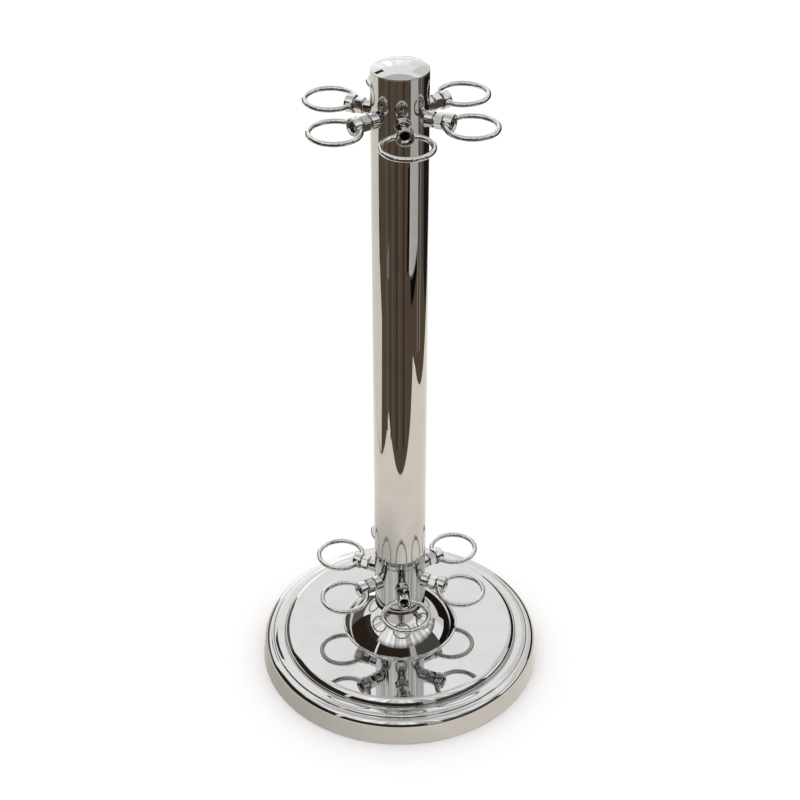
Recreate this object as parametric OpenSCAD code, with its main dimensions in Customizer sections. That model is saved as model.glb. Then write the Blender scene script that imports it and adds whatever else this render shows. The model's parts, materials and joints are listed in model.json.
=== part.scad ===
// Free-standing cue stand: a weighted round base, one tube column with a domed cap,
// and two tiers of six rings. A cue drops through an upper ring and the lower ring under it.
// Millimetres. Origin: centre of the underside, on the floor. +Z is up; the front arms point along -Y.
// Threads are plain cylinders, with running clearance where a piece turns on them.

/* [Column] */
// Outside diameter of the column tube
column_diameter = 50.8; // [32:0.1:76]
// Wall thickness of the column tube
column_wall = 1.5; // [1:0.1:3]
// Height of the column's rim, where the domed cap starts
column_rim_height = 647; // [400:1:900]
// Rise of the cap's dome above its rim
cap_dome_rise = 4.5; // [2:0.1:12]

/* [Base] */
// Diameter of the base at the floor
base_diameter = 282; // [200:1:400]
// Height of the flat plate that the cues stand on
plate_height = 36; // [24:0.5:60]
// Height of the tapered side wall
skirt_height = 19.4; // [14:0.1:24]
// Sheet thickness of the base cover and the foot flange
sheet = 1; // [0.6:0.1:2]
// Diameter of the domed flange around the column's foot
flange_diameter = 116; // [80:1:160]

/* [Tiers] */
// Height of the upper rings
upper_ring_height = 606; // [300:1:850]
// Height of the lower rings
lower_ring_height = 101; // [80:1:200]
// Distance from the column's axis to a ring's centre
ring_reach = 66.7; // [50:0.1:100]

/* [Rings] */
// Clear opening of a ring
ring_opening = 39.6; // [25:0.1:60]
// Diameter of the ring's wire
wire_diameter = 4.8; // [3:0.1:8]
// Outside diameter of a ring's boss
boss_diameter = 16; // [12:0.1:24]
// Distance from the column's axis to the boss's outer end
boss_reach = 50; // [44:0.1:60]
// Outside diameter of the stem that stands on the column
stem_diameter = 14; // [10:0.1:20]

/* [Hidden] */
arms = 6;
tiers = ["upper", "lower"];
places = ["front", "front_right", "back_right", "back", "back_left", "front_left"];
$fn = 96;

column_radius = column_diameter / 2;
column_bore = column_radius - column_wall;
fit_gap = 0.05;                 // running clearance on radius
weld_gap = 0.02;                // brazed pieces stand this far apart

// Base cover: rounded steps climb inwards from the side wall to the plate. Each is an arc between two
// corners, given here from the outermost to the plate's edge, and faces step_end degrees above level
// at its outer corner.
skirt_lift = 1;                 // the cover's edge stays off the floor
skirt_radius = base_diameter / 2;
skirt_taper = 2.2;
wall_lean = atan2(skirt_taper, skirt_height);
rise = plate_height - skirt_height;
edge_radius = 2.4;              // rounded outer edge of the middle step's crown
crown_end = 80;
step_end = [wall_lean, 15, crown_end, 8];
edge_corner = [skirt_radius - 10.4, skirt_height + 0.4 * rise];
step_corner = [
    [skirt_radius - skirt_taper, skirt_height],
    edge_corner,
    edge_corner + edge_radius * (facing(crown_end) - facing(step_end[1])),
    [skirt_radius - 21.7, plate_height - 0.494 * rise],
    [skirt_radius - 28.7, plate_height]];
blend = 0.004;                  // an arc that runs into another face stands this far through it
pad_thickness = 3;
pad_radius = [108, 132];
web_height = 20;                // underside of the weight over its recess
recess_radius = 105;

bolt_radius = 6;                // M12
bolt_head_width = 18;
bolt_head_height = 7.5;
washer_thickness = 3;
washer_radius = 18;
plug_height = 16;

// Foot flange: part of a ball, ending in a flat lip
flange_radius = flange_diameter / 2;
flange_ball_radius = 64;
lip_width = 1.6;
lip_height = 1.4;

cap_edge = 1;                   // straight edge between the tube's end and the dome
cap_spigot_length = 14;
cap_spigot_wall = 2.4;

// Arm: stem, spring washer, lock nut, boss, one after another on a stud
stud_radius = 4;                // M8
stud_socket_width = 4;
stud_end = boss_reach - 5.4;
stem_end = 32;
spring_washer_radius = 5.4;
spring_washer_thickness = 2;
washer_slit = 0.9;
nut_width = 13;
nut_height = 6.8;
nut_turn = 23;                  // each lock nut stops at its own angle
nut_start = stem_end + spring_washer_thickness;
boss_gap = 0.3;
boss_start = nut_start + nut_height + boss_gap;
boss_neck_length = 0.9;
boss_neck_radius = 5.2;
boss_shoulder = 0.5;            // chamfer behind the boss
boss_lip = 1.4;
boss_seat_radius = [5.2, 5.9];  // narrow ring between the tapered mouth and the threaded hole
boss_seat_depth = 2;
boss_floor = stud_end - 0.2;
wire_radius = wire_diameter / 2;
ring_radius = (ring_opening + wire_diameter) / 2;
flare_length = 4;
flare_growth = 0.9;
hex_corner = 1 / cos(30);       // corner distance of a hexagon one unit across its inner circle

chrome = [0.80, 0.80, 0.81];
black_steel = [0.10, 0.10, 0.10];
iron = [0.22, 0.22, 0.23];
rubber = [0.08, 0.08, 0.08];
steel = [0.55, 0.55, 0.56];

// ---- base ----

function facing(angle) = [cos(angle), sin(angle)];

// Step i runs from corner i inwards to corner i + 1
function step_size(i) = let (across = step_corner[i] - step_corner[i + 1])
    across * across / (2 * across * facing(step_end[i]));
function step_centre(i) = step_corner[i] - step_size(i) * facing(step_end[i]);

module step_disc(i, inset) {
    translate(step_centre(i)) circle(step_size(i) - inset);
}

// The base's section, or the same section a sheet's thickness further in
module base_section(inset) {
    wall_top = step_corner[0] - inset * facing(wall_lean);
    crown_edge = step_corner[2] - inset * facing(crown_end);
    foot = skirt_radius - inset / cos(wall_lean);
    intersection() {
        union() {
            intersection() {
                polygon([[0, 0], [foot, 0], [foot - 2 * skirt_taper, 2 * skirt_height], [0, 2 * skirt_height]]);
                union() {
                    square([skirt_radius, wall_top[1]]);
                    step_disc(0, inset - blend);
                }
            }
            intersection() {
                step_disc(2, inset);
                union() {
                    square([crown_edge[0], plate_height]);
                    step_disc(1, inset - blend);
                }
            }
            square([step_centre(3)[0], plate_height + 1]);
            step_disc(3, inset);
        }
        square([skirt_radius + 1, plate_height - inset]);
    }
}

module base_cover() {
    color(chrome) rotate_extrude() difference() {
        base_section(0);
        base_section(sheet);
        square([bolt_radius + 0.5, plate_height + 1]);
        square([skirt_radius + 1, skirt_lift]);
    }
}

// Fills the cover, a casting's clearance inside it
module base_weight() {
    clear = 0.6;
    under_plate = plate_height - sheet;
    wall = skirt_radius - sheet - clear;
    color(iron) rotate_extrude() difference() {
        union() {
            polygon([[0, 0], [wall, 0], [wall - skirt_taper, skirt_height], [0, skirt_height]]);
            square([step_corner[0][0] - 5, skirt_height + 3]);
            square([step_corner[2][0] - 1, step_corner[2][1] - sheet - clear - 0.8]);
            square([step_corner[3][0] - 2, plate_height - 7]);
            square([step_corner[4][0] - 1.5, under_plate]);
        }
        square([recess_radius, web_height]);
        square([skirt_radius, pad_thickness]);
        square([bolt_radius + 0.5, plate_height]);
    }
}

module floor_pad() {
    color(rubber) rotate_extrude()
        translate([pad_radius[0], 0]) square([pad_radius[1] - pad_radius[0], pad_thickness]);
}

module base_washer() {
    color(steel) translate([0, 0, web_height - washer_thickness]) difference() {
        cylinder(r = washer_radius, h = washer_thickness);
        translate([0, 0, -1]) cylinder(r = bolt_radius + 0.5, h = washer_thickness + 2);
    }
}

module base_bolt() {
    head_top = web_height - washer_thickness;
    shank_top = plate_height + plug_height - 2;
    color(steel) {
        translate([0, 0, head_top - bolt_head_height]) hexagon(bolt_head_width, bolt_head_height);
        translate([0, 0, head_top - 1]) cylinder(r = bolt_radius, h = shank_top - head_top + 1);
    }
}

// A hexagonal prism with both ends chamfered
module hexagon(width, height) {
    corner = width / 2 * hex_corner;
    intersection() {
        cylinder(r = corner, h = height, $fn = 6);
        cylinder(r1 = width / 2, r2 = width / 2 + height * 1.7, h = height);
        cylinder(r1 = width / 2 + height * 1.7, r2 = width / 2, h = height);
    }
}

// ---- column ----

module column_tube() {
    color(chrome) translate([0, 0, plate_height]) difference() {
        cylinder(r = column_radius, h = column_rim_height - cap_edge - plate_height);
        translate([0, 0, -1]) cylinder(r = column_bore, h = column_rim_height);
    }
}

module column_foot_plug() {
    color(steel) translate([0, 0, plate_height]) difference() {
        cylinder(r = column_bore, h = plug_height);
        translate([0, 0, -1]) cylinder(r = bolt_radius + fit_gap, h = plug_height + 2);
    }
}

module foot_flange() {
    dome_edge = flange_radius - lip_width;
    ball_height = plate_height + lip_height - sqrt(pow(flange_ball_radius, 2) - pow(dome_edge, 2));
    color(chrome) rotate_extrude() {
        intersection() {
            translate([0, ball_height]) difference() {
                circle(flange_ball_radius);
                circle(flange_ball_radius - sheet);
            }
            translate([column_radius + fit_gap, plate_height])
                square([dome_edge - column_radius - fit_gap, flange_ball_radius]);
        }
        translate([dome_edge - 1.2, plate_height]) square([lip_width + 0.7, lip_height]);
        translate([flange_radius - 0.5, plate_height]) square([0.5, lip_height - 0.5]);
        translate([flange_radius - 0.5, plate_height + lip_height - 0.5]) circle(0.5);
    }
}

module top_cap() {
    dome_radius = (pow(column_radius, 2) + pow(cap_dome_rise, 2)) / (2 * cap_dome_rise);
    spigot = column_bore - fit_gap;
    color(chrome) rotate_extrude() {
        intersection() {
            translate([0, column_rim_height + cap_dome_rise - dome_radius]) difference() {
                circle(dome_radius);
                circle(dome_radius - cap_spigot_wall);
            }
            translate([0, column_rim_height]) square([column_radius, cap_dome_rise + 1]);
        }
        translate([spigot - cap_spigot_wall, column_rim_height - cap_edge - cap_spigot_length])
            square([cap_spigot_wall, cap_spigot_length + cap_edge + 0.2]);
        translate([spigot - cap_spigot_wall, column_rim_height - cap_edge])
            square([column_radius - spigot + cap_spigot_wall, cap_edge]);
    }
}

// ---- arms ----

// Puts an arm's pieces in place: inside, +Z runs outwards along the arm and +Y is up
module at_arm(height, place) {
    translate([0, 0, height]) rotate([0, 0, 360 / arms * place]) rotate([90, 0, 0]) children();
}

module stem(height, place) {
    color(chrome) at_arm(height, place) difference() {
        union() {
            translate([0, 0, column_bore]) cylinder(d = stem_diameter, h = stem_end - 0.5 - column_bore);
            translate([0, 0, stem_end - 0.5])
                cylinder(d1 = stem_diameter, d2 = stem_diameter - 1, h = 0.5);
        }
        rotate([90, 0, 0]) cylinder(r = column_radius + weld_gap, h = 2 * stem_diameter, center = true);
        cylinder(r = stud_radius + fit_gap, h = boss_reach);
    }
}

module stud() {
    inner_end = column_radius + 0.6;
    difference() {
        union() {
            translate([0, 0, inner_end]) cylinder(r = stud_radius, h = stud_end - 0.8 - inner_end);
            translate([0, 0, stud_end - 0.8]) cylinder(r1 = stud_radius, r2 = stud_radius - 0.8, h = 0.8);
        }
        translate([0, 0, stud_end - 3]) cylinder(r = stud_socket_width / 2 * hex_corner, h = 4, $fn = 6);
    }
}

module spring_washer() {
    through = spring_washer_thickness + 2;
    translate([0, 0, stem_end]) difference() {
        cylinder(r = spring_washer_radius, h = spring_washer_thickness);
        translate([0, 0, -1]) cylinder(r = stud_radius + 2 * fit_gap, h = through);
        translate([-washer_slit / 2, 0, -1]) cube([washer_slit, spring_washer_radius + 1, through]);
    }
}

module lock_nut() {
    translate([0, 0, nut_start]) difference() {
        hexagon(nut_width, nut_height);
        translate([0, 0, -1]) cylinder(r = stud_radius + fit_gap, h = nut_height + 2);
    }
}

module studs(height) {
    color(black_steel) for (i = [0:arms - 1]) at_arm(height, i) stud();
}

module spring_washers(height) {
    color(steel) for (i = [0:arms - 1]) at_arm(height, i) rotate(i * nut_turn) spring_washer();
}

module lock_nuts(height) {
    color(chrome) for (i = [0:arms - 1]) at_arm(height, i) rotate(i * nut_turn) lock_nut();
}

// The boss turns on the stud. Behind it is a short neck, and its open end has a rounded lip, a tapered
// mouth and a deep threaded hole with the stud's end at the bottom.
module boss(height, place) {
    outside = boss_diameter / 2;
    crest = boss_reach - boss_lip / 2;
    shoulder = boss_start + boss_neck_length;
    seat = boss_reach - boss_seat_depth;
    color(chrome) at_arm(height, place) rotate_extrude() {
        polygon([[stud_radius + fit_gap, boss_start], [boss_neck_radius, boss_start],
                 [boss_neck_radius, shoulder], [outside - boss_shoulder, shoulder],
                 [outside, shoulder + boss_shoulder], [outside, crest],
                 [outside - boss_lip, crest], [boss_seat_radius[1], seat + 0.2],
                 [boss_seat_radius[0], seat], [boss_seat_radius[0], boss_floor],
                 [stud_radius + fit_gap, boss_floor]]);
        translate([outside - boss_lip / 2, crest]) circle(boss_lip / 2);
    }
}

// The ring is one wire bent round, its two ends brazed to the sides of the boss
module ring(height, place) {
    outside = boss_diameter / 2;
    end_angle = asin(outside / ring_radius);
    color(chrome) at_arm(height, place) difference() {
        union() {
            translate([0, 0, ring_reach]) rotate([90, 0, 0])
                rotate_extrude() translate([ring_radius, 0]) circle(wire_radius);
            for (side = [-1, 1]) translate([0, 0, ring_reach]) rotate([0, side * end_angle, 0])
                translate([side * -0.5, 0, -ring_radius]) rotate([0, side * 90, 0])
                    cylinder(r1 = wire_radius + flare_growth, r2 = wire_radius, h = flare_length);
        }
        translate([0, 0, column_radius]) cylinder(r = outside + weld_gap, h = ring_reach - column_radius);
    }
}

base_cover();
base_weight();
floor_pad();
base_bolt();
base_washer();
foot_flange();
column_tube();
column_foot_plug();
top_cap();
studs(upper_ring_height);  // upper_studs
studs(lower_ring_height);  // lower_studs
spring_washers(upper_ring_height);  // upper_spring_washers
spring_washers(lower_ring_height);  // lower_spring_washers
lock_nuts(upper_ring_height);  // upper_lock_nuts
lock_nuts(lower_ring_height);  // lower_lock_nuts
for (i = [0:arms - 1]) {
    stem(upper_ring_height, i);
    stem(lower_ring_height, i);
    boss(upper_ring_height, i);
    boss(lower_ring_height, i);
    ring(upper_ring_height, i);
    ring(lower_ring_height, i);
}
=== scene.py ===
"""Looks of the cue stand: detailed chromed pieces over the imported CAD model, a studio and the camera."""

import json
import math

import bmesh
import bpy
import numpy as np
from mathutils import Matrix, Vector


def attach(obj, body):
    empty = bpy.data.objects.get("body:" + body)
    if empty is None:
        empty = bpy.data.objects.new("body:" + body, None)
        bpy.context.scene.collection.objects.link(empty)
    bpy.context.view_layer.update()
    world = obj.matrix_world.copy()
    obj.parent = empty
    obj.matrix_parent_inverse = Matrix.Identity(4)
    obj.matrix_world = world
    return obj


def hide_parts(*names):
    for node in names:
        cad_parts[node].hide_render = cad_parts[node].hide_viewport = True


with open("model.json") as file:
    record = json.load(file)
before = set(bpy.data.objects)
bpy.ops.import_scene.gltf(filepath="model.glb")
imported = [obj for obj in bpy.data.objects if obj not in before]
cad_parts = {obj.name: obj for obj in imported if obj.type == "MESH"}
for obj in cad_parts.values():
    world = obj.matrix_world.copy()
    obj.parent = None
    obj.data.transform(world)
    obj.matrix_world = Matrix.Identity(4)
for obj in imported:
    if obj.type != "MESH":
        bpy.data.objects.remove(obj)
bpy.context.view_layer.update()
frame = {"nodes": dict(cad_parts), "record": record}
MM = 0.001

# ---- sizes, as in the CAD model: millimetres, and degrees where a comment says so ----
COLUMN_RADIUS = 25.4
COLUMN_BORE = 23.9
COLUMN_RIM = 647.0
CAP_EDGE = 1.0
CAP_RISE = 4.5
PLATE = 36.0
SKIRT_RADIUS = 141.0
SKIRT_LIFT = 1.0
SHEET = 1.0
STEP_CORNERS = ((138.8, 19.4), (130.6, 26.04), (128.7, 27.78), (119.3, 27.8), (112.3, 36.0))
STEP_ENDS = (6.47, 15.0, 80.0, 8.0)  # degrees above level that each arc faces at its outer corner
WEIGHT_OUTLINE = ((139.05, 3.0), (137.2, 19.4), (133.8, 19.4), (133.8, 22.4), (127.7, 22.4))
WEIGHT_OUTLINE += ((127.7, 25.38), (117.3, 25.38), (117.3, 29.0), (110.8, 29.0), (110.8, 35.0))
PAD_RADII = (108.0, 132.0)
PAD_HEIGHT = 3.0
WEB_HEIGHT = 20.0
RECESS_RADIUS = 105.0
BOLT_RADIUS = 6.0
BOLT_HOLE = 6.5
BOLT_HEAD_WIDTH = 18.0
BOLT_HEAD_HEIGHT = 7.5
BOLT_END = 50.0
WASHER_RADIUS = 18.0
WASHER_HEIGHT = 3.0
FLANGE_RADIUS = 58.0
FLANGE_BALL = 64.0
LIP_WIDTH = 1.6
LIP_HEIGHT = 1.4
TIERS = {"upper": 606.0, "lower": 101.0}
PLACES = ("front", "front_right", "back_right", "back", "back_left", "front_left")
RING_REACH = 66.7
RING_RADIUS = 22.2
WIRE_RADIUS = 2.4
BOSS_RADIUS = 8.0
BOSS_START = 41.1
BOSS_NECK_END = 42.0
BOSS_NECK_RADIUS = 5.2
BOSS_REACH = 50.0
BOSS_LIP = 1.4
BOSS_SEAT = 48.0
BOSS_SEAT_RADII = (5.2, 5.9)
BOSS_FLOOR = 44.4
STEM_RADIUS = 7.0
STEM_END = 32.0
STUD_RADIUS = 4.0
STUD_START = 26.0
STUD_END = 44.6
STUD_SOCKET = 4.0
SPRING_WASHER_RADIUS = 5.4
NUT_START = 34.0
NUT_HEIGHT = 6.8
NUT_WIDTH = 13.0
NUT_TURN = 23.0  # degrees, between one arm's nut and the next
WELD_GAP = 0.02
STUD_BORE = 4.05

# ---- sizes that only the visual pieces have ----
CHAMFER = math.tan(math.radians(30))
BOLT_THREAD_START = 26.0
BOLT_PITCH = 1.75
BOLT_THREAD_DEPTH = 0.9
STUD_PITCH = 1.25
STUD_THREAD_DEPTH = 0.6
BOSS_PITCH = 0.7
BOSS_THREAD_DEPTH = 0.35
SPIGOT_LENGTH = 14.0
SPIGOT_WALL = 2.4
PAD_GROOVES = 5
PAD_GROOVE_SPACING = 4.0
SPRING_SLIT = 5.5  # degrees, half of the gap between the ends
SPRING_RISE = 0.26
BRAZE_GROWTH = 1.0
BRAZE_LENGTH = 3.6
NEAR_AXIS = 0.0001


# ---- mesh helpers ----


def arc(centre, radius, start, end, count):
    """Points along an arc in the profile plane, angles in degrees."""
    angles = np.radians(np.linspace(start, end, count))
    return [(centre[0] + radius * math.cos(a), centre[1] + radius * math.sin(a)) for a in angles]


def rounded(points, radii, count=6):
    """A closed profile with each corner rounded to its radius (0 keeps it sharp)."""
    made = []
    total = len(points)
    for i, radius in enumerate(radii):
        here = Vector(points[i])
        if radius <= 0:
            made.append(tuple(here))
            continue
        before = (Vector(points[i - 1]) - here).normalized()
        after = (Vector(points[(i + 1) % total]) - here).normalized()
        half = before.angle(after) / 2
        reach = radius / math.tan(half)
        start = here + before * reach
        end = here + after * reach
        middle = here + (before + after).normalized() * (radius / math.sin(half))
        for share in np.linspace(0, 1, count):
            point = start.lerp(end, share) - middle
            made.append(tuple(middle + point.normalized() * radius))
    return made


def round_angles(count):
    """Evenly spaced angles, once round."""
    return np.linspace(0, 2 * math.pi, count, endpoint=False)


def grid_mesh(name, points, close_rows=True, sharp=40):
    """A mesh from rows of points in millimetres. The last row joins the first, or both get end caps."""
    rows, columns = points.shape[:2]
    vertices = (points.reshape(-1, 3) * MM).tolist()
    faces = []
    for i in range(rows if close_rows else rows - 1):
        for j in range(columns):
            i2 = (i + 1) % rows
            j2 = (j + 1) % columns
            faces.append((i * columns + j, i * columns + j2, i2 * columns + j2, i2 * columns + j))
    if not close_rows:
        faces.append(tuple(reversed(range(columns))))
        faces.append(tuple((rows - 1) * columns + j for j in range(columns)))
    return solid(name, vertices, faces, sharp)


def solid(name, vertices, faces, sharp):
    """A smooth-shaded object from vertices and faces, with outward normals and sharp edges above an angle."""
    mesh = bpy.data.meshes.new(name)
    mesh.from_pydata(vertices, [], faces)
    mesh.validate()
    obj = bpy.data.objects.new(name, mesh)
    bpy.context.scene.collection.objects.link(obj)
    outward(mesh)
    mesh.shade_smooth()
    mesh.set_sharp_from_angle(angle=math.radians(sharp))
    return obj


def outward(mesh):
    """Merges points that lie on each other and turns the faces outwards."""
    work = bmesh.new()
    work.from_mesh(mesh)
    bmesh.ops.remove_doubles(work, verts=work.verts, dist=1e-7)
    bmesh.ops.recalc_face_normals(work, faces=work.faces)
    work.to_mesh(mesh)
    work.free()


def lathe(name, profile, turns=192, sharp=40, on_axis=False):
    """Spins (radius, height) points round Z. The profile is a closed loop unless its ends lie on the axis."""
    angles = round_angles(turns)
    radius = np.array([p[0] for p in profile])
    height = np.array([p[1] for p in profile])
    grid = np.stack(
        [
            np.outer(radius, np.sin(angles)),
            -np.outer(radius, np.cos(angles)),
            np.outer(height, np.ones(turns)),
        ],
        axis=-1,
    )
    return grid_mesh(name, grid, close_rows=not on_axis, sharp=sharp)


def at_arm(tier, place):
    """From an arm's own frame (+Z outwards along the arm, +Y up) to the stand's frame, in metres."""
    turn = Matrix.Rotation(math.radians(60 * PLACES.index(place)), 4, "Z")
    lay = Matrix.Rotation(math.radians(90), 4, "X")
    return Matrix.Translation((0, 0, TIERS[tier] * MM)) @ turn @ lay


def place_mesh(obj, matrix):
    """Moves an object's own vertices, so that its origin stays at the stand's origin."""
    obj.data.transform(matrix)
    return obj


def join(name, objects):
    """Joins objects into one, named name."""
    bpy.ops.object.select_all(action="DESELECT")
    for obj in objects:
        obj.select_set(True)
    bpy.context.view_layer.objects.active = objects[0]
    bpy.ops.object.join()
    objects[0].name = name
    objects[0].data.name = name
    return objects[0]


# ---- materials ----


def new_material(name, colour, metallic, roughness):
    """A principled material with its uniform values set on the shader itself."""
    material = bpy.data.materials.new(name)
    material.use_nodes = True
    shader = material.node_tree.nodes["Principled BSDF"]
    shader.inputs["Base Color"].default_value = (*colour, 1)
    shader.inputs["Metallic"].default_value = metallic
    shader.inputs["Roughness"].default_value = roughness
    return material, material.node_tree, shader


def calculate(tree, operation, first, second=0.0):
    """A math node. Each input is a number or another node's output."""
    made = tree.nodes.new("ShaderNodeMath")
    made.operation = operation
    for socket, value in zip(made.inputs, (first, second)):
        if isinstance(value, bpy.types.NodeSocket):
            tree.links.new(value, socket)
        else:
            socket.default_value = value
    return made.outputs[0]


def place_on_object(tree, stretch=(1, 1, 1), turn=0.0):
    """Object coordinates, stretched and turned about Z."""
    where = tree.nodes.new("ShaderNodeTexCoord")
    mapping = tree.nodes.new("ShaderNodeMapping")
    mapping.inputs["Scale"].default_value = stretch
    mapping.inputs["Rotation"].default_value = (0, 0, math.radians(turn))
    tree.links.new(where.outputs["Object"], mapping.inputs["Vector"])
    return mapping.outputs[0]


def object_axes(tree):
    """The X, Y and Z of the object coordinates, one output each."""
    where = tree.nodes.new("ShaderNodeTexCoord")
    split = tree.nodes.new("ShaderNodeSeparateXYZ")
    tree.links.new(where.outputs["Object"], split.inputs[0])
    return split.outputs


def distance_out(tree, axes):
    """Distance from the object's Z axis."""
    across = calculate(tree, "MULTIPLY", axes[0], axes[0])
    along = calculate(tree, "MULTIPLY", axes[1], axes[1])
    return calculate(tree, "SQRT", calculate(tree, "ADD", across, along))


def round_column(tree):
    """Coordinates that are the same all the way round the column: (radius, height, 0)."""
    axes = object_axes(tree)
    joined = tree.nodes.new("ShaderNodeCombineXYZ")
    tree.links.new(distance_out(tree, axes), joined.inputs[0])
    tree.links.new(axes[2], joined.inputs[1])
    return joined.outputs[0]


def noise(tree, vector, size, detail=2.0, distortion=0.0):
    """Noise whose features are about size millimetres across."""
    made = tree.nodes.new("ShaderNodeTexNoise")
    made.inputs["Scale"].default_value = 1 / (size * MM)
    made.inputs["Detail"].default_value = detail
    made.inputs["Distortion"].default_value = distortion
    tree.links.new(vector, made.inputs["Vector"])
    return made.outputs[0]


def spread(tree, value, low, high, out_low, out_high):
    """Maps a range of values to another, clamped."""
    made = tree.nodes.new("ShaderNodeMapRange")
    for name, number in (("From Min", low), ("From Max", high), ("To Min", out_low), ("To Max", out_high)):
        made.inputs[name].default_value = number
    tree.links.new(value, made.inputs["Value"])
    return made.outputs[0]


def blend(tree, share, first, second):
    """A colour between two, by share."""
    made = tree.nodes.new("ShaderNodeMix")
    made.data_type = "RGBA"
    made.inputs[6].default_value = (*first, 1)
    made.inputs[7].default_value = (*second, 1)
    tree.links.new(share, made.inputs[0])
    return made.outputs[2]


def relief(tree, shader, height, depth):
    """Bump of depth millimetres from a height, on top of any bump already there."""
    made = tree.nodes.new("ShaderNodeBump")
    made.inputs["Strength"].default_value = 1.0
    made.inputs["Distance"].default_value = depth * MM
    tree.links.new(height, made.inputs["Height"])
    before = shader.inputs["Normal"].links
    if before:
        tree.links.new(before[0].from_socket, made.inputs["Normal"])
    tree.links.new(made.outputs[0], shader.inputs["Normal"])


def scratches(tree, turn, width, length):
    """Thin straight hairlines: noise stretched along one direction, kept only at its crests."""
    vector = place_on_object(tree, (1 / width, 1 / length, 1 / width), turn)
    lines = noise(tree, vector, 1.0, detail=1.0)
    return spread(tree, lines, 0.70, 0.78, 0.0, 1.0)


CHROMIUM = (0.556, 0.560, 0.562)
CHROMIUM_HAZE = (0.500, 0.502, 0.495)


def chrome_material(name, lines, line_size, line_depth, wave_depth, smudge_size=34.0):
    """Polished chrome plate: polishing lines, a little waviness, faint smudges, specks and hairlines."""
    material, tree, shader = new_material(name, CHROMIUM, 1.0, 0.03)
    anywhere = place_on_object(tree)
    smudge = spread(tree, noise(tree, anywhere, smudge_size, 5.0, 0.6), 0.42, 0.74, 0.0, 1.0)
    fine = noise(tree, anywhere, 2.2, 3.0)
    specks = spread(tree, noise(tree, anywhere, 0.9, 1.0), 0.76, 0.80, 0.0, 1.0)
    hairs = calculate(tree, "MAXIMUM", scratches(tree, 24, 0.12, 9.0), scratches(tree, -51, 0.10, 7.0))
    marks = calculate(tree, "MAXIMUM", specks, calculate(tree, "MULTIPLY", hairs, 0.6))
    haze = calculate(tree, "MULTIPLY", smudge, spread(tree, fine, 0.3, 0.7, 0.55, 1.0))
    dull = spread(tree, haze, 0.0, 1.0, 0.022, 0.075)
    rough = calculate(tree, "ADD", dull, calculate(tree, "MULTIPLY", marks, 0.09))
    tree.links.new(rough, shader.inputs["Roughness"])
    worn = calculate(tree, "MAXIMUM", haze, marks)
    tree.links.new(blend(tree, worn, CHROMIUM, CHROMIUM_HAZE), shader.inputs["Base Color"])
    if lines == "round":
        vector = round_column(tree)
    elif lines == "upright":
        vector = place_on_object(tree, (1, 1, 0.006))
    else:
        vector = anywhere
    relief(tree, shader, noise(tree, vector, line_size, 2.0), line_depth)
    relief(tree, shader, noise(tree, anywhere, 14.0, 1.0), wave_depth)
    return material


def plated_steel_material():
    """Zinc plate: slightly cloudy, yellow to blue, with a fine grain."""
    material, tree, shader = new_material("plated_steel", (0.56, 0.55, 0.52), 1.0, 0.3)
    anywhere = place_on_object(tree)
    clouds = noise(tree, anywhere, 5.0, 4.0, 0.4)
    grain = noise(tree, anywhere, 0.35, 2.0)
    tree.links.new(blend(tree, clouds, (0.60, 0.57, 0.49), (0.50, 0.53, 0.57)), shader.inputs["Base Color"])
    tree.links.new(spread(tree, clouds, 0.25, 0.75, 0.22, 0.42), shader.inputs["Roughness"])
    relief(tree, shader, grain, 0.012)
    return material


def black_steel_material(name, dark, worn, shine):
    """Oily, uneven dark steel with lighter worn specks: blackened on the studs, partly painted shade in
    holes.
    """
    material, tree, shader = new_material(name, dark, 0.9, 0.35)
    anywhere = place_on_object(tree)
    uneven = noise(tree, anywhere, 1.6, 4.0)
    wear = spread(tree, noise(tree, anywhere, 0.8, 3.0), 0.60, 0.74, 0.0, 1.0)
    tree.links.new(blend(tree, wear, dark, worn), shader.inputs["Base Color"])
    tree.links.new(spread(tree, uneven, 0.3, 0.7, shine, shine + 0.22), shader.inputs["Roughness"])
    relief(tree, shader, uneven, 0.02)
    return material


def cast_iron_material():
    """Sand-cast iron under a thin coat of black paint, rubbed to metal in places."""
    material, tree, shader = new_material("cast_iron", (0.03, 0.03, 0.032), 0.3, 0.7)
    anywhere = place_on_object(tree)
    sand = noise(tree, anywhere, 1.1, 4.0)
    lumps = noise(tree, anywhere, 9.0, 2.0)
    rub = spread(tree, noise(tree, anywhere, 6.0, 6.0, 0.8), 0.60, 0.72, 0.0, 1.0)
    colour = blend(tree, rub, (0.022, 0.022, 0.024), (0.095, 0.085, 0.075))
    tree.links.new(colour, shader.inputs["Base Color"])
    tree.links.new(spread(tree, sand, 0.3, 0.7, 0.55, 0.85), shader.inputs["Roughness"])
    relief(tree, shader, lumps, 0.25)
    relief(tree, shader, sand, 0.16)
    return material


def rubber_material():
    """Black rubber with a fine grain and a bloom of dust."""
    material, tree, shader = new_material("rubber", (0.014, 0.014, 0.014), 0.0, 0.7)
    anywhere = place_on_object(tree)
    grain = noise(tree, anywhere, 0.5, 2.0)
    bloom = spread(tree, noise(tree, anywhere, 12.0, 5.0), 0.45, 0.75, 0.0, 1.0)
    colour = blend(tree, bloom, (0.011, 0.011, 0.011), (0.035, 0.034, 0.032))
    tree.links.new(colour, shader.inputs["Base Color"])
    tree.links.new(spread(tree, grain, 0.3, 0.7, 0.6, 0.85), shader.inputs["Roughness"])
    relief(tree, shader, grain, 0.05)
    return material


def finish_piece(obj, materials, body, nodes):
    """Gives a piece its materials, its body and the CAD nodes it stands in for."""
    obj.data.materials.clear()
    for material in materials:
        obj.data.materials.append(material)
    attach(obj, body)
    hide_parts(*nodes)
    return obj


# ---- base and column ----


def facing(angle):
    """The unit direction at an angle above level, in degrees."""
    return Vector((math.cos(math.radians(angle)), math.sin(math.radians(angle))))


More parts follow.
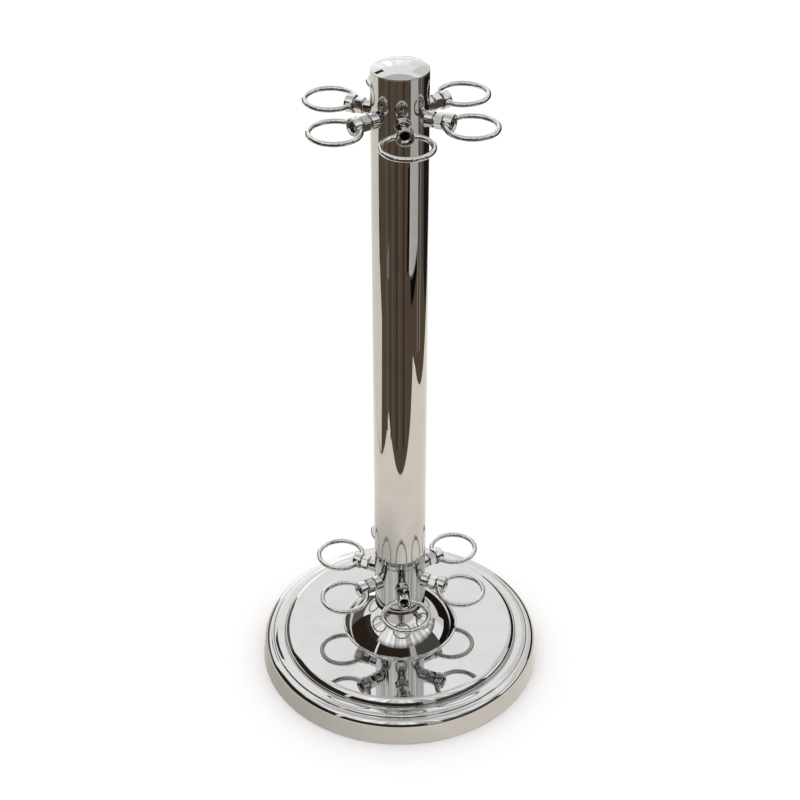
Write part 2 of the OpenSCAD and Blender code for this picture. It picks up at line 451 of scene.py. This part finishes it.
def step_arc(i, inset, count):
    """Step i's arc from its outer corner, where it faces STEP_ENDS[i] degrees above level, inwards."""
    outer = Vector(STEP_CORNERS[i])
    inner = Vector(STEP_CORNERS[i + 1])
    across = outer - inner
    size = across.length_squared / (2 * across.dot(facing(STEP_ENDS[i])))
    centre = outer - size * facing(STEP_ENDS[i])
    reach = inner - centre
    start = math.degrees(math.atan2(reach.y, reach.x))
    return arc(centre, size - inset, STEP_ENDS[i], start, count)


def cover_profile():
    """The base cover's outside from its lower edge to the hole in the middle, then its inside back down."""
    top = Vector(STEP_CORNERS[0])
    wall = top - Vector((SKIRT_RADIUS, 0))
    foot = Vector((SKIRT_RADIUS, 0)) + wall * (SKIRT_LIFT / top.y)
    back = Vector((SHEET, 0))
    steps = len(STEP_ENDS)
    outside = [foot - Vector((0.35, 0)), foot + wall * 0.02, foot.lerp(top, 0.5)]
    for i in range(steps):
        outside += step_arc(i, 0, 30)
    outside += [(STEP_CORNERS[-1][0] - 0.3, PLATE), (60, PLATE), (6.5, PLATE)]
    inside = [(6.5, PLATE - SHEET), (STEP_CORNERS[-1][0] - 0.5, PLATE - SHEET)]
    for i in reversed(range(steps)):
        inside += reversed(step_arc(i, SHEET, 12))
    inside.append(foot - back)
    return [tuple(point) for point in outside + inside]


def base_cover():
    """The spun cover. Even the shallow creases between its steps stay sharp."""
    return lathe("polished_base_cover", cover_profile(), turns=360, sharp=9)


def foot_flange():
    """A domed sheet with a short upright lip round it."""
    rim = FLANGE_RADIUS - LIP_WIDTH
    middle = PLATE + LIP_HEIGHT - math.sqrt(FLANGE_BALL**2 - rim**2)
    hole = COLUMN_RADIUS + 0.05
    inner_ball = FLANGE_BALL - SHEET
    start = math.degrees(math.acos(hole / FLANGE_BALL))
    end = math.degrees(math.acos(rim / FLANGE_BALL))
    profile = arc((0, middle), FLANGE_BALL, start, end, 60)
    profile += arc((FLANGE_RADIUS - 0.5, PLATE + LIP_HEIGHT - 0.5), 0.5, 90, 0, 7)
    profile += [(FLANGE_RADIUS, PLATE), (rim - 1.2, PLATE)]
    inner_end = math.degrees(math.asin((PLATE - middle) / inner_ball))
    inner_start = math.degrees(math.acos(hole / inner_ball))
    profile += arc((0, middle), inner_ball, inner_end, inner_start, 40)
    return lathe("polished_foot_flange", profile, turns=256, sharp=30)


def column():
    """The tube, its ends a little rounded."""
    top = COLUMN_RIM - CAP_EDGE
    corners = [(COLUMN_RADIUS, PLATE), (COLUMN_RADIUS, top), (COLUMN_BORE, top), (COLUMN_BORE, PLATE)]
    return lathe("polished_column", rounded(corners, [0.1, 0.15, 0.1, 0.1]), turns=256, sharp=30)


def top_cap():
    """A low dome with a hollow spigot that pushes into the column."""
    ball = (COLUMN_RADIUS**2 + CAP_RISE**2) / (2 * CAP_RISE)
    middle = COLUMN_RIM + CAP_RISE - ball
    tilt = math.degrees(math.asin(COLUMN_RADIUS / ball))
    dome = arc((0, middle), ball, 90, 90 - tilt + 1.0, 48)
    dome[0] = (NEAR_AXIS, dome[0][1])
    edge = [(COLUMN_RADIUS - 0.05, COLUMN_RIM - 0.05), (COLUMN_RADIUS, COLUMN_RIM - 0.2)]
    spigot = COLUMN_BORE - 0.05
    low = COLUMN_RIM - CAP_EDGE - SPIGOT_LENGTH
    rest = [
        (COLUMN_RADIUS, COLUMN_RIM - CAP_EDGE + 0.1),
        (COLUMN_RADIUS - 0.1, COLUMN_RIM - CAP_EDGE),
        (spigot, COLUMN_RIM - CAP_EDGE),
        (spigot, low + 0.5),
        (spigot - 0.5, low),
        (spigot - SPIGOT_WALL, low),
        (spigot - SPIGOT_WALL, COLUMN_RIM - 0.6),
        (NEAR_AXIS, COLUMN_RIM + CAP_RISE - SPIGOT_WALL),
    ]
    return lathe("polished_top_cap", dome + edge + rest, turns=256, sharp=30, on_axis=True)


def floor_pad():
    """A flat rubber ring, moulded with grooves on the side that meets the floor."""
    inner, outer = PAD_RADII
    profile = [(inner + 0.4, 0), (inner, 0.4), (inner, PAD_HEIGHT - 0.1), (inner + 0.1, PAD_HEIGHT)]
    profile += [(outer - 0.1, PAD_HEIGHT), (outer, PAD_HEIGHT - 0.1), (outer, 0.4), (outer - 0.4, 0)]
    for i in range(PAD_GROOVES):
        middle = outer - PAD_GROOVE_SPACING * (i + 1)
        profile += [(middle + 0.7, 0), (middle + 0.4, 0.6), (middle - 0.4, 0.6), (middle - 0.7, 0)]
    return lathe("moulded_floor_pad", profile, turns=256, sharp=25)


def base_weight():
    """A turned casting with rounded corners, hollow underneath."""
    corners = [(BOLT_HOLE, WEB_HEIGHT), (RECESS_RADIUS, WEB_HEIGHT), (RECESS_RADIUS, PAD_HEIGHT)]
    corners += [*WEIGHT_OUTLINE, (BOLT_HOLE, PLATE - SHEET)]
    rounds = [0.3, 4, 1, 1, 1, 0.5, 1, 0.5, 1, 1.5, 1, 1.5, 1, 0.3]
    return lathe("cast_base_weight", rounded(corners, rounds), turns=256, sharp=40)


def base_washer():
    """The flat washer between the bolt's head and the weight."""
    low = WEB_HEIGHT - WASHER_HEIGHT
    corners = [(BOLT_HOLE, low), (WASHER_RADIUS, low), (WASHER_RADIUS, WEB_HEIGHT), (BOLT_HOLE, WEB_HEIGHT)]
    return lathe("turned_base_washer", rounded(corners, [0.3, 0.5, 0.2, 0.2]), turns=128, sharp=50)


def thread(radius, start, end, pitch, depth):
    """(radius, along) points down a row of thread ridges, drawn as rings."""
    points = []
    for i in range(int((end - start) / pitch)):
        low = start + pitch * i
        points += [(radius - depth, low), (radius - depth, low + 0.1 * pitch)]
        points += [(radius, low + 0.45 * pitch), (radius, low + 0.65 * pitch)]
    return points


def ring_rows(rings, angles):
    """Rows of points round Z, one for each (radius, height) pair. Either may differ from angle to angle."""
    level = np.zeros(len(angles))
    rows = [(radius * np.cos(angles), radius * np.sin(angles), level + along) for radius, along in rings]
    return np.array([np.stack(row, axis=-1) for row in rows])


def hexagon_radius(angles, width, corner_cut):
    """Distance to a hexagon's side at each angle, with its corners cut to a circle."""
    folded = np.abs((np.degrees(angles) + 30) % 60 - 30)
    corner = width / 2 / math.cos(math.radians(30))
    return np.minimum(width / 2 / np.cos(np.radians(folded)), corner - corner_cut)


def base_bolt():
    """A hexagon-head bolt: chamfered head, washer face, shank and thread."""
    angles = round_angles(96)
    head_top = WEB_HEIGHT - WASHER_HEIGHT
    low = head_top - BOLT_HEAD_HEIGHT
    hexagon = hexagon_radius(angles, BOLT_HEAD_WIDTH, 0.3)
    face = BOLT_HEAD_WIDTH / 2 - 0.4
    drop = np.maximum(hexagon - face, 0) * CHAMFER
    rings = [(face, low), (hexagon, low + drop), (hexagon, head_top - 0.5)]
    rings += [(face + 0.2, head_top - 0.5), (face + 0.2, head_top), (BOLT_RADIUS, head_top)]
    rings += thread(BOLT_RADIUS, BOLT_THREAD_START, BOLT_END - 1, BOLT_PITCH, BOLT_THREAD_DEPTH)
    rings.append((BOLT_RADIUS - 1.2, BOLT_END))
    return grid_mesh("hexagon_base_bolt", ring_rows(rings, angles), close_rows=False, sharp=25)


# ---- arms ----


def stem(tier, place):
    """The stem's inner end follows the column, with a small braze fillet."""
    angles = round_angles(96)

    def on_column(radius, offset):
        """A ring that lies on the column, offset outwards."""
        return radius, np.sqrt((COLUMN_RADIUS + WELD_GAP) ** 2 - (radius * np.cos(angles)) ** 2) + offset

    fillet = ((0.55, 0.0), (0.3, 0.08), (0.14, 0.22), (0.04, 0.42), (0.0, 0.65))
    rings = [on_column(STEM_RADIUS + growth, offset) for growth, offset in fillet]
    rings += arc_corner(STEM_RADIUS, STEM_END, 0.5)
    rings += [(STUD_BORE + 0.2, STEM_END), (STUD_BORE, STEM_END - 0.2), on_column(STUD_BORE, 0.0)]
    obj = grid_mesh(f"polished_{tier}_stem_{place}", ring_rows(rings, angles), sharp=35)
    return place_mesh(obj, at_arm(tier, place))


def arc_corner(radius, end, size, count=6):
    """(radius, along) points round a turned end's outer corner."""
    return [
        (radius - size + size * math.cos(a), end - size + size * math.sin(a))
        for a in np.linspace(0, math.pi / 2, count)
    ]


def boss(tier, place):
    """Chromed outside, with a neck behind it; inside the mouth a bare steel thread, darkened as painted
    shade.
    """
    mouth = BOSS_RADIUS - BOSS_LIP
    crest = BOSS_RADIUS - BOSS_LIP / 2
    seat_in, seat_out = BOSS_SEAT_RADII
    profile = [(STUD_BORE, BOSS_START), (BOSS_NECK_RADIUS - 0.2, BOSS_START)]
    profile += [(BOSS_NECK_RADIUS, BOSS_START + 0.2), (BOSS_NECK_RADIUS, BOSS_NECK_END)]
    profile += [(BOSS_RADIUS - 0.5, BOSS_NECK_END)]
    profile += [
        (BOSS_RADIUS - 0.5 + 0.5 * math.sin(a), BOSS_NECK_END + 0.5 - 0.5 * math.cos(a))
        for a in np.linspace(0, math.pi / 2, 6)[1:]
    ]
    profile += [(BOSS_RADIUS, BOSS_NECK_END + 3)]
    profile += arc((crest, BOSS_REACH - BOSS_LIP / 2), BOSS_LIP / 2, 0, 180, 14)
    profile += [(mouth - 0.02, BOSS_REACH - BOSS_LIP / 2 - 0.1)]
    profile += [(seat_out, BOSS_SEAT + 0.2), (seat_in, BOSS_SEAT)]
    profile += reversed(thread(seat_in, BOSS_FLOOR, BOSS_SEAT - 0.2, BOSS_PITCH, BOSS_THREAD_DEPTH))
    profile += [(seat_in, BOSS_FLOOR), (STUD_BORE, BOSS_FLOOR)]
    obj = lathe(f"polished_{tier}_boss_{place}", profile, turns=96, sharp=35)
    # Faces inside the threaded hole take the dark second material; its darkness is painted shade.
    for face in obj.data.polygons:
        away = Vector(face.center[:2]).length
        if away < (seat_in + 0.02) * MM and face.center.z > (BOSS_FLOOR - 0.1) * MM:
            face.material_index = 1
    return place_mesh(obj, at_arm(tier, place))


def stud(tier, place):
    """A threaded stud with a hexagon socket in its outer end."""
    angles = round_angles(48)
    rings = thread(STUD_RADIUS, STUD_START, STUD_END - 0.8, STUD_PITCH, STUD_THREAD_DEPTH)
    rings.append((STUD_RADIUS - 0.7, STUD_END))
    socket = hexagon_radius(angles, STUD_SOCKET, 0.0)
    rings += [(socket + 0.15, STUD_END), (socket, STUD_END - 0.2)]
    rings += [(socket, STUD_END - 3), (socket * 0.4, STUD_END - 3.4)]
    obj = grid_mesh(f"stud_{tier}_{place}", ring_rows(rings, angles), close_rows=False, sharp=30)
    return place_mesh(obj, at_arm(tier, place))


def spring_washer(tier, place):
    """A split ring of square wire, its two ends a little out of line."""
    steps = 72
    slit = math.radians(SPRING_SLIT)
    inner = STUD_RADIUS + 0.1
    outer = SPRING_WASHER_RADIUS
    corners = [(inner, -0.85), (outer, -0.85), (outer, 0.85), (inner, 0.85)]
    section = rounded(corners, [0.15, 0.3, 0.3, 0.15], 3)
    rows = []
    for share in np.linspace(0, 1, steps):
        angle = math.pi / 2 + slit + share * (2 * math.pi - 2 * slit)
        middle = STEM_END + 1 + SPRING_RISE * (share - 0.5)
        rows.append([(r * math.cos(angle), r * math.sin(angle), middle + h) for r, h in section])
    obj = grid_mesh(f"spring_{tier}_{place}", np.array(rows), close_rows=False, sharp=40)
    turn = Matrix.Rotation(math.radians(NUT_TURN * PLACES.index(place)), 4, "Z")
    return place_mesh(obj, at_arm(tier, place) @ turn)


def ring(tier, place):
    """One wire bent round, its flared ends brazed to the boss's sides."""
    steps = 220
    seat = BOSS_RADIUS + WELD_GAP
    angles = round_angles(32)
    ease = np.linspace(0, 1, steps)
    ease = ease - 0.75 * np.sin(2 * math.pi * ease) / (2 * math.pi)
    grown = WIRE_RADIUS + BRAZE_GROWTH
    start = np.arcsin(
        np.sqrt(seat**2 - (grown * np.sin(angles)) ** 2) / (RING_RADIUS + grown * np.cos(angles))
    )
    rows = []
    for share in ease:
        turn = start + (2 * math.pi - 2 * start) * share
        from_end = np.minimum(turn - start, 2 * math.pi - start - turn) * RING_RADIUS
        radius = WIRE_RADIUS + (grown - WIRE_RADIUS) * np.clip(1 - from_end / BRAZE_LENGTH, 0, 1) ** 2.4
        reach = RING_RADIUS + radius * np.cos(angles)
        along = RING_REACH - reach * np.cos(turn)
        rows.append(np.stack([reach * np.sin(turn), radius * np.sin(angles), along], axis=-1))
    obj = grid_mesh(f"polished_{tier}_ring_{place}", np.array(rows), close_rows=False, sharp=50)
    return place_mesh(obj, at_arm(tier, place))


def lock_nut(tier, place):
    """A chamfered hexagon nut, stopped at its own angle."""
    angles = round_angles(144)
    hexagon = hexagon_radius(angles, NUT_WIDTH, 0.22)
    chamfer_start = NUT_WIDTH / 2 - 0.15
    drop = np.maximum(hexagon - chamfer_start, 0) * CHAMFER
    nut_end = NUT_START + NUT_HEIGHT
    rings = [(STUD_BORE, NUT_START + 0.4), (STUD_BORE + 0.4, NUT_START), (chamfer_start, NUT_START)]
    rings += [(hexagon, NUT_START + drop), (hexagon, nut_end - drop)]
    rings += [(chamfer_start, nut_end), (STUD_BORE + 0.4, nut_end), (STUD_BORE, nut_end - 0.4)]
    obj = grid_mesh(f"nut_{tier}_{place}", ring_rows(rings, angles), sharp=22)
    turn = Matrix.Rotation(math.radians(NUT_TURN * PLACES.index(place)), 4, "Z")
    return place_mesh(obj, at_arm(tier, place) @ turn)


# ---- build ----

turned_chrome = chrome_material("chrome_turned", "round", 0.45, 0.0009, 0.004)
tube_chrome = chrome_material("chrome_tube", "upright", 1.3, 0.0030, 0.004)
small_chrome = chrome_material("chrome_small", "none", 0.8, 0.0012, 0.003, smudge_size=9.0)
plated_steel = plated_steel_material()
black_steel = black_steel_material("black_steel", (0.012, 0.012, 0.013), (0.06, 0.058, 0.055), 0.28)
# Bare steel for the threaded holes, darkened as painted shade for the deep holes.
bare_thread_and_shade = black_steel_material("bare_thread_and_shade", (0.10, 0.092, 0.082), (0.20, 0.185, 0.165), 0.22)
cast_iron = cast_iron_material()
rubber = rubber_material()

in_slot = {"plated_steel": plated_steel, "black_steel": black_steel, "cast_iron": cast_iron, "rubber": rubber}
for part in frame["record"]["subparts"]:
    data = frame["nodes"][part["node"]].data
    data.materials.clear()
    data.materials.append(in_slot.get(part["material_slot"], small_chrome))

finish_piece(base_cover(), [turned_chrome], "stand", ["base_cover"])
finish_piece(base_weight(), [cast_iron], "stand", ["base_weight"])
finish_piece(floor_pad(), [rubber], "stand", ["floor_pad"])
finish_piece(base_bolt(), [plated_steel], "stand", ["base_bolt"])
finish_piece(base_washer(), [plated_steel], "stand", ["base_washer"])
finish_piece(foot_flange(), [turned_chrome], "stand", ["foot_flange"])
finish_piece(column(), [tube_chrome], "stand", ["column_tube"])
finish_piece(top_cap(), [turned_chrome], "stand", ["top_cap"])
for tier in TIERS:
    for place in PLACES:
        finish_piece(stem(tier, place), [small_chrome], "stand", [f"{tier}_stem_{place}"])
        holder = f"{tier}_{place}_holder"
        boss_materials = [small_chrome, bare_thread_and_shade]
        finish_piece(boss(tier, place), boss_materials, holder, [f"{tier}_boss_{place}"])
        finish_piece(ring(tier, place), [small_chrome], holder, [f"{tier}_ring_{place}"])
    nuts = join(f"polished_{tier}_lock_nuts", [lock_nut(tier, place) for place in PLACES])
    finish_piece(nuts, [small_chrome], "stand", [f"{tier}_lock_nuts"])
    studs = join(f"threaded_{tier}_studs", [stud(tier, place) for place in PLACES])
    finish_piece(studs, [black_steel], "stand", [f"{tier}_studs"])
    springs = join(f"split_{tier}_spring_washers", [spring_washer(tier, place) for place in PLACES])
    finish_piece(springs, [plated_steel], "stand", [f"{tier}_spring_washers"])

# ---- studio ----


def stage_mesh(name, corners, colour):
    """A flat glowing card that shows in reflections only."""
    mesh = bpy.data.meshes.new(name)
    mesh.from_pydata(corners, [], [tuple(range(len(corners)))])
    obj = bpy.data.objects.new(name, mesh)
    bpy.context.scene.collection.objects.link(obj)
    material = bpy.data.materials.new(name)
    material.use_nodes = True
    nodes = material.node_tree.nodes
    nodes.clear()
    output = nodes.new("ShaderNodeOutputMaterial")
    light = nodes.new("ShaderNodeEmission")
    light.inputs["Color"].default_value = (*colour, 1)
    light.inputs["Strength"].default_value = 1.0
    material.node_tree.links.new(light.outputs[0], output.inputs["Surface"])
    mesh.materials.append(material)
    obj.visible_camera = False
    obj.visible_diffuse = False
    obj.visible_shadow = False
    obj.visible_transmission = False
    obj.visible_volume_scatter = False
    return obj


def floor_card(name, corners, level, colour):
    """A card lying on the floor, seen in reflections only."""
    return stage_mesh(name, [(x, y, level * MM) for x, y in corners], colour)


def wall_card(name, start, end, low, high, distance, colour, pieces):
    """A curved wall round the stand between two azimuths, in degrees from the front towards the right."""
    angles = np.radians(np.linspace(start, end, pieces + 1))
    vertices = []
    for a in angles:
        vertices.append((distance * math.sin(a), -distance * math.cos(a), low))
        vertices.append((distance * math.sin(a), -distance * math.cos(a), high))
    obj = stage_mesh(name, [(0, 0, 0), (0, 0, 0), (0, 0, 0)], colour)
    mesh = obj.data
    mesh.clear_geometry()
    mesh.from_pydata(vertices, [], [(2 * i, 2 * i + 2, 2 * i + 3, 2 * i + 1) for i in range(pieces)])
    return obj


floor_mesh = bpy.data.meshes.new("floor")
floor_mesh.from_pydata([(-6, -6, 0), (6, -6, 0), (6, 6, 0), (-6, 6, 0)], [], [(0, 1, 2, 3)])
floor = bpy.data.objects.new("floor", floor_mesh)
bpy.context.scene.collection.objects.link(floor)
floor_mesh.materials.append(new_material("pale_floor", (0.79, 0.79, 0.79), 0.0, 0.9)[0])
floor.visible_glossy = False

# The room, seen only in the chrome: a brown floor, a pale table top under the stand, a dark room in front
BROWN = (0.128, 0.093, 0.067)
TABLE = (1.05, 0.97, 0.875)
SHEET_GREY = (0.98, 0.93, 0.82)
BLACK = (0.006, 0.005, 0.004)
floor_card("room_floor", [(-5, -5), (5, -5), (5, 5), (-5, 5)], 0.2, BROWN)
table_corners = [(-0.375, -0.28), (-0.20, -0.312), (0.0, -0.325), (0.28, -0.345), (0.47, -0.405)]
table_corners += [(0.505, -0.30), (0.56, 0.40), (0.40, 5), (-0.36, 5), (-0.36, 0.02)]
floor_card("table", table_corners, 0.5, TABLE)
sheet_corners = [(-5, 0.16), (-1.24, 0.13), (-0.93, 0.05), (-0.72, -0.08)]
sheet_corners += [(-0.365, 0.01), (-0.36, 5), (-5, 5)]
floor_card("side_sheet", sheet_corners, 0.4, SHEET_GREY)
floor_card("dark_corner", [(-1.13, -0.02), (-0.92, 0.01), (-0.90, 0.06), (-1.13, 0.11)], 0.6, BLACK)
floor_card("far_right", [(0.62, 0.35), (0.85, 0.20), (5, 0.3), (5, 5), (0.60, 5)], 0.3, (0.018, 0.015, 0.013))
floor_card("board", [(0.47, -0.78), (0.98, -0.34), (2.6, -1.25), (1.9, -2.5)], 0.6, (0.66, 0.63, 0.60))
edge_corners = [(0.47, -0.78), (0.56, -0.70), (0.92, -1.15), (0.85, -1.20)]
floor_card("board_edge", edge_corners, 0.7, (0.72, 0.69, 0.66))
floor_card("board_shadow", [(0.50, -0.60), (0.84, -0.36), (0.93, -0.36), (0.52, -0.72)], 0.5, BLACK)
floor_card("board_foot", [(0.34, -0.86), (0.45, -0.79), (0.83, -1.19), (0.62, -1.30)], 0.5, BLACK)
left_corners = [(-0.83, -0.52), (-0.74, -0.48), (-0.66, -0.60), (-0.78, -0.70)]
floor_card("left_patch", left_corners, 0.5, (0.26, 0.22, 0.19))
blue_corners = [(-0.29, -0.90), (-0.07, -0.92), (-0.07, -0.98), (-0.29, -0.96)]
floor_card("blue_patch", blue_corners, 0.5, (0.08, 0.07, 0.075))

# Thin radial streaks on the room's floor
LIGHT_STREAK = (0.20, 0.155, 0.12)
DARK_STREAK = (0.055, 0.038, 0.028)
GREY_STREAK = (0.34, 0.32, 0.30)


STREAK_LEVEL = 0.8
# From azimuth, to azimuth, near radius, far radius, colour
STREAKS = (
    (-61, -57, 0.42, 3, LIGHT_STREAK),
    (-46, -43, 0.40, 3, DARK_STREAK),
    (-36, -34, 0.38, 3, LIGHT_STREAK),
    (-22, -16, 0.38, 1.6, DARK_STREAK),
    (-7, -5, 0.38, 3, LIGHT_STREAK),
    (6, 12, 0.38, 2.4, DARK_STREAK),
    (68, 71, 0.62, 3, GREY_STREAK),
    (80, 84, 0.62, 3, GREY_STREAK),
)


def streak(name, start, end, near, far, colour):
    """A thin radial wedge on the floor between two azimuths, in degrees from the front towards the right."""
    first, last = math.radians(start), math.radians(end)
    corners = [(near * math.sin(a), -near * math.cos(a)) for a in (first, last)]
    corners += [(far * math.sin(a), -far * math.cos(a)) for a in (last, first)]
    floor_card(name, corners, STREAK_LEVEL, colour)


for number, wedge in enumerate(STREAKS, 1):
    streak(f"streak_{number}", *wedge)

# The room's walls, by azimuth
wall_card("tall_left", -120, -58, 2.3, 3.3, 4.05, (0.05, 0.038, 0.03), 8)
wall_card("room_wall", -120, 12, 0.0, 2.36, 4.1, (0.036, 0.025, 0.018), 24)
wall_card("room_wall_right", 12, 76, 0.0, 2.36, 4.1, (0.10, 0.092, 0.085), 16)
wall_card("low_right", 76, 112, 0.0, 0.80, 4.1, (0.012, 0.010, 0.009), 10)
wall_card("tall_right", 112, 158, 0.0, 1.55, 4.1, (0.014, 0.011, 0.010), 12)
wall_card("low_back_left", -158, -118, 0.0, 1.9, 4.2, (0.17, 0.145, 0.125), 10)
wall_card("back_right", 100, 162, 0.6, 5.0, 4.3, (1.0, 0.98, 0.965), 12)
wall_card("back", 162, 184, 1.0, 2.9, 4.3, (1.15, 1.14, 1.13), 6)
for half_width, tone in ((13, 1.38), (9, 1.52), (6, 1.7), (3, 1.9)):
    name = f"cap_light_{half_width}"
    distance = 4.1 - 0.01 * tone
    wall_card(name, -178 - half_width, -178 + half_width, 1.5, 3.0, distance, (tone, tone, tone), 4)
wall_card("window_left", -53, -49.5, 0.5, 2.5, 4.0, (1.3, 1.27, 1.22), 2)
wall_card("window_front", 15, 26, 0.4, 2.5, 4.0, (0.64, 0.61, 0.59), 3)
wall_card("bright_back", -176, -158, 0.05, 1.1, 4.0, (2.3, 2.3, 2.3), 4)
wall_card("dark_wedge", -170, -160, 3.35, 4.05, 4.0, (0.05, 0.045, 0.04), 3)

# Above the dark walls in front the light rises softly, in broad upright streaks
front = wall_card("front_glow", -104, 104, 2.3, 9.0, 4.15, (1.0, 0.985, 0.97), 60)
tree = front.data.materials[0].node_tree
streaks = noise(tree, place_on_object(tree, (1, 1, 0)), 520.0, 2.0)
risen = spread(tree, object_axes(tree)[2], 2.3, 3.3, 0.10, 1.0)
glow = calculate(tree, "MULTIPLY", spread(tree, streaks, 0.36, 0.64, 0.66, 1.7), risen)
tree.links.new(glow, tree.nodes["Emission"].inputs["Strength"])

# The table top is dimmer close to the stand, more so on its left
shade = floor_card("table_shade", [(-0.36, -0.27), (0.36, -0.27), (0.36, 0.36), (-0.36, 0.36)], 0.6, TABLE)
tree = shade.data.materials[0].node_tree
axes = object_axes(tree)
near = spread(tree, distance_out(tree, axes), 0.141, 0.27, 1.0, 0.0)
side = spread(tree, axes[0], -0.17, 0.04, 0.47, 0.10)
dim = calculate(tree, "SUBTRACT", 1.0, calculate(tree, "MULTIPLY", near, side))
tree.links.new(dim, tree.nodes["Emission"].inputs["Strength"])

CEILING_RADIUS = 1.45
CEILING_HEIGHT = 3.1
ceiling_corners = [
    (CEILING_RADIUS * math.cos(a), 0.5 + CEILING_RADIUS * math.sin(a), CEILING_HEIGHT)
    for a in round_angles(24)
]
stage_mesh("ceiling", ceiling_corners, (0.78, 0.76, 0.74))

world = bpy.data.worlds.new("studio")
bpy.context.scene.world = world
world.use_nodes = True
world.node_tree.nodes["Background"].inputs["Color"].default_value = (1.0, 0.99, 0.985, 1)
world.node_tree.nodes["Background"].inputs["Strength"].default_value = 1.29


def area_light(name, location, size, power, target):
    """A rectangular light aimed at a target."""
    data = bpy.data.lights.new(name, "AREA")
    data.shape = "RECTANGLE"
    data.size, data.size_y = size
    data.energy = power
    obj = bpy.data.objects.new(name, data)
    bpy.context.scene.collection.objects.link(obj)
    obj.location = location
    obj.rotation_mode = "QUATERNION"
    obj.rotation_quaternion = (Vector(target) - Vector(location)).to_track_quat("-Z", "Y")
    return obj


overhead = area_light("overhead", (-0.4, 0.6, 2.6), (1.6, 1.6), 6, target=(0, 0, 0.3))
overhead.visible_glossy = False

# ---- camera ----
CAMERA_AWAY = 1.3807
CAMERA_HEIGHT = 1.25156
CAMERA_AZIMUTH = math.radians(-5.10)
CAMERA_PITCH = math.radians(34.26)
LENS_LENGTH = 79.76
lens = bpy.data.cameras.new("camera")
lens.sensor_width = 36.0
lens.lens = LENS_LENGTH
lens.clip_end = 100
camera = bpy.data.objects.new("camera", lens)
bpy.context.scene.collection.objects.link(camera)
camera.location = (
    CAMERA_AWAY * math.sin(CAMERA_AZIMUTH),
    -CAMERA_AWAY * math.cos(CAMERA_AZIMUTH),
    CAMERA_HEIGHT,
)
camera.rotation_euler = (math.pi / 2 - CAMERA_PITCH, 0, CAMERA_AZIMUTH)
bpy.context.scene.camera = camera

bpy.context.scene.view_settings.view_transform = "Standard"
